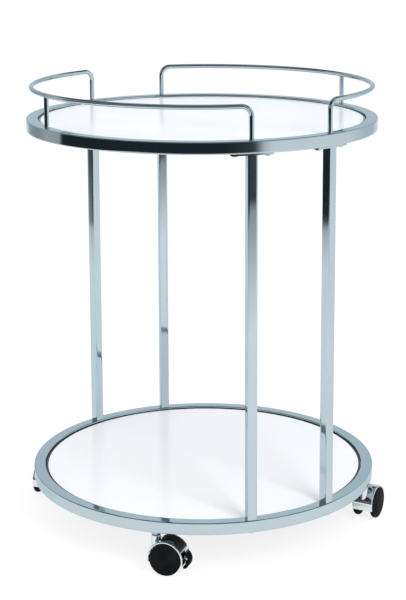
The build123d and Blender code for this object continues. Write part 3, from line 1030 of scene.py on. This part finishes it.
# Tones as (place, tone) stops: places are degrees round from the camera, or metres
room = {
    "radius": 6.0,
    "height": 11.0,
    "sides": 96,
    "floorLevel": 0.6 * mm,
    "dark": 0.026,
    "darkTint": (0.72, 0.97, 1.12),
    "wallTint": (0.91, 0.985, 1.04),
    "darkTurn": ((-180, 0.0), (-165, 0.15), (-143, 0.5), (-129, 0.6), (-115, 0.45), (-101, 0.5), (-98, 1.0),
                 (15, 1.0), (20, 0.985), (26, 0.975), (32, 0.955), (35, 0.7), (38, 0.3), (44, 0.0),
                 (105, 0.0), (130, 0.2), (165, 0.2), (180, 0.0)),
    "darkRise": ((0, 0.02), (0.6, 0.02), (1.3, 0.26), (4.2, 0.36), (4.7, 0.05), (8.5, 0.05), (11, 0.15)),
    "backRise": ((0, 0.86), (2.8, 0.82), (4.2, 0.74), (4.7, 0.05), (6.6, 0.05), (9, 0.5), (11, 0.5)),
    "ceiling": ((-6, 0.5), (0, 0.45), (1, 0.15), (6, 0.15)),
    "paperFront": ((0, 0.0), (1.1, 0.0), (1.78, 0.5), (2.08, 0.58), (2.14, 1.0)),
    "paperLeft": ((0, 0.0), (1.35, 0.0), (1.76, 0.4), (1.82, 1.0)),
    "paperRight": ((0, 0.0), (1.8, 0.0), (2.2, 1.0)),
    "underCart": ((0, 0.9), (0.15, 0.9), (0.20, 0.0)),
}


def onlyReflected(card):
    card.visible_camera = False
    card.visible_diffuse = False
    card.visible_shadow = False
    card.visible_transmission = False


# A tone read off (place, tone) stops
def addTones(tree, value, stops, unit=1.0):
    places, tones = zip(*stops)
    first, last = places[0], places[-1]
    share = addNode(tree, "ShaderNodeMapRange",
                    {"Value": value, "From Min": first * unit, "From Max": last * unit})
    ramp = addNode(tree, "ShaderNodeValToRGB", {"Fac": share.outputs["Result"]})
    marks = ramp.color_ramp.elements
    for place in places[1:-1]:
        marks.new((place - first) / (last - first))
    for mark, tone in zip(marks, tones):
        mark.color = (tone, tone, tone, 1)
    return ramp.outputs["Color"]


# A place in the room as right of the cart, towards the camera and up
def roomAxes(tree, place):
    turned = addNode(tree, "ShaderNodeMapping", {"Vector": place, "Rotation": (0, 0, -azimuth)})
    axes = addNode(tree, "ShaderNodeSeparateXYZ", {"Vector": turned.outputs["Vector"]}).outputs
    return {"right": axes["X"], "towards": addMath(tree, "MULTIPLY", axes["Y"], -1.0), "up": axes["Z"]}


# The share of dark in that place's direction
def addDarkShare(tree, axes):
    turn = addMath(tree, "ARCTAN2", axes["right"], axes["towards"])
    return addTones(tree, turn, room["darkTurn"], math.radians(1))


# The floor past the white paper's edges, dark on the camera's side, and in shade under the cart
def buildFarFloor():
    card = addObject("farFloor", squareMesh("farFloor", whiteFloor["size"], room["floorLevel"]))
    material, tree, place = stageMaterial("farFloorShade")
    axes = roomAxes(tree, place)
    left = addMath(tree, "MULTIPLY", axes["right"], -1.0)
    sides = addMath(tree, "MAXIMUM", addTones(tree, axes["right"], room["paperRight"]),
                    addTones(tree, left, room["paperLeft"]))
    past = addMath(tree, "MAXIMUM", addTones(tree, axes["towards"], room["paperFront"]), sides)
    far = addMath(tree, "MULTIPLY", past, addDarkShare(tree, axes))
    out = addNode(tree, "ShaderNodeVectorMath", {0: place}, operation="LENGTH")
    cover = addMath(tree, "MAXIMUM", far, addTones(tree, out.outputs["Value"], room["underCart"]))
    clear = tree.nodes.new("ShaderNodeBsdfTransparent")
    dark = addNode(tree, "ShaderNodeEmission", {"Color": (*room["darkTint"], 1), "Strength": room["dark"]})
    mix = addNode(tree, "ShaderNodeMixShader", {0: cover, 1: clear.outputs[0], 2: dark.outputs[0]})
    addNode(tree, "ShaderNodeOutputMaterial", {"Surface": mix.outputs[0]})
    card.data.materials.append(material)
    onlyReflected(card)


def endGlow(card, material, tree, tone):
    glow = addNode(tree, "ShaderNodeEmission", {"Color": (*room["wallTint"], 1), "Strength": tone})
    addNode(tree, "ShaderNodeOutputMaterial", {"Surface": glow.outputs[0]})
    card.data.materials.append(material)
    onlyReflected(card)


# The walls: dark on the camera's side low down, elsewhere white low down, and a dark band above
def buildWalls():
    bm = bmesh.new()
    bmesh.ops.create_cone(bm, segments=room["sides"], radius1=room["radius"], radius2=room["radius"],
                          depth=room["height"], matrix=Matrix.Translation((0, 0, room["height"] / 2)))
    mesh = bpy.data.meshes.new("roomWalls")
    bm.to_mesh(mesh)
    bm.free()
    card = addObject("roomWalls", mesh)
    material, tree, place = stageMaterial("roomShade")
    axes = roomAxes(tree, place)
    tone = addMix(tree, "FLOAT", addDarkShare(tree, axes), addTones(tree, axes["up"], room["backRise"]),
                  addTones(tree, axes["up"], room["darkRise"]))
    endGlow(card, material, tree, tone)


def buildCeiling():
    card = addObject("roomCeiling", squareMesh("roomCeiling", 2 * room["radius"], room["height"]))
    material, tree, place = stageMaterial("ceilingShade")
    tone = addTones(tree, roomAxes(tree, place)["towards"], room["ceiling"])
    endGlow(card, material, tree, tone)


buildCamera()
buildWorld()
buildFloor()
buildFarFloor()
buildWalls()
buildCeiling()
for name, shape in lamps.items():
    buildLamp(name, shape)
bpy.context.scene.view_settings.view_transform = "Standard"
print("stage set")
